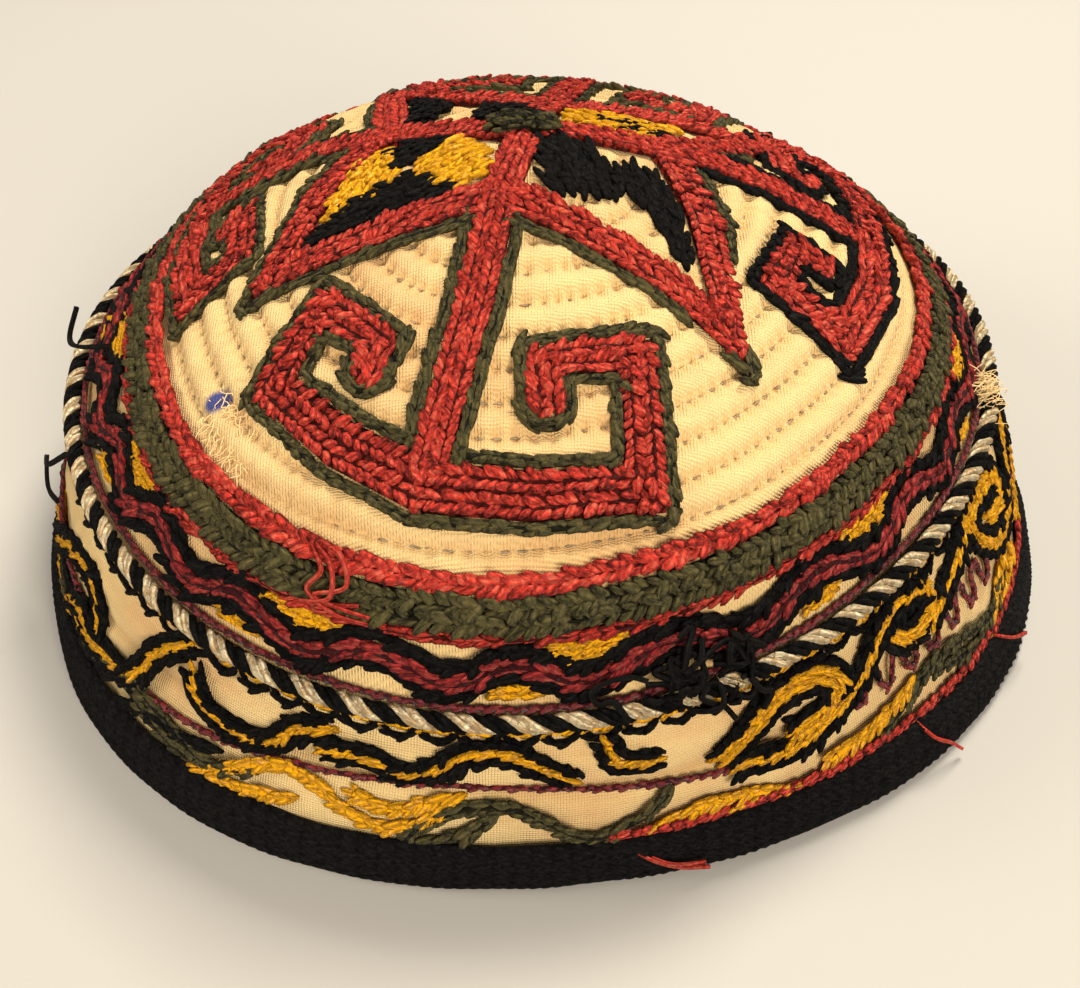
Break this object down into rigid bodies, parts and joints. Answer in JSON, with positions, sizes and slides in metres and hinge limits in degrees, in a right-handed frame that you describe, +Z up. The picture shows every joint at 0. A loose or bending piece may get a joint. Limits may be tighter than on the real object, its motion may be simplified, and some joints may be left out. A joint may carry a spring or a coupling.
{
  "type": "embroidered tubeteika skullcap",
  "caption": "Round quilted cotton skullcap with a low dome, a twisted cord round its seam, a bound rim and plaited ram's-horn embroidery.",
  "frame": {"origin": "on the resting surface, under the middle of the cap's box", "axes": "+Z up through the crown, the cap resting on its rim; -Y is the front that the picture looks at, +X is to the right in the picture"},
  "size_m": [0.1832, 0.1774, 0.0822],
  "materials": {
    "cotton": "cream cotton, quilted in rings",
    "dark_braid": "blue-black woven tape",
    "twisted_cord": "black and white twisted cord",
    "red_thread": "plaited brick-red thread",
    "green_thread": "plaited olive-green thread",
    "yellow_thread": "golden-yellow thread filling",
    "black_thread": "black thread rows and filling",
    "pale_thread": "pale sewing thread and frayed lint"
  },
  "bodies": {
    "root": {"crown": "cotton", "side_band": "cotton", "hem_braid": "dark_braid", "seam_cord": "twisted_cord", "border_row_inner": "red_thread", "border_row_green": "green_thread", "border_row_outer": "red_thread", "shoulder_zigzag": "red_thread", "star_and_horns": "red_thread", "centre_tuft": "green_thread"}
  },
  "joints": []
}
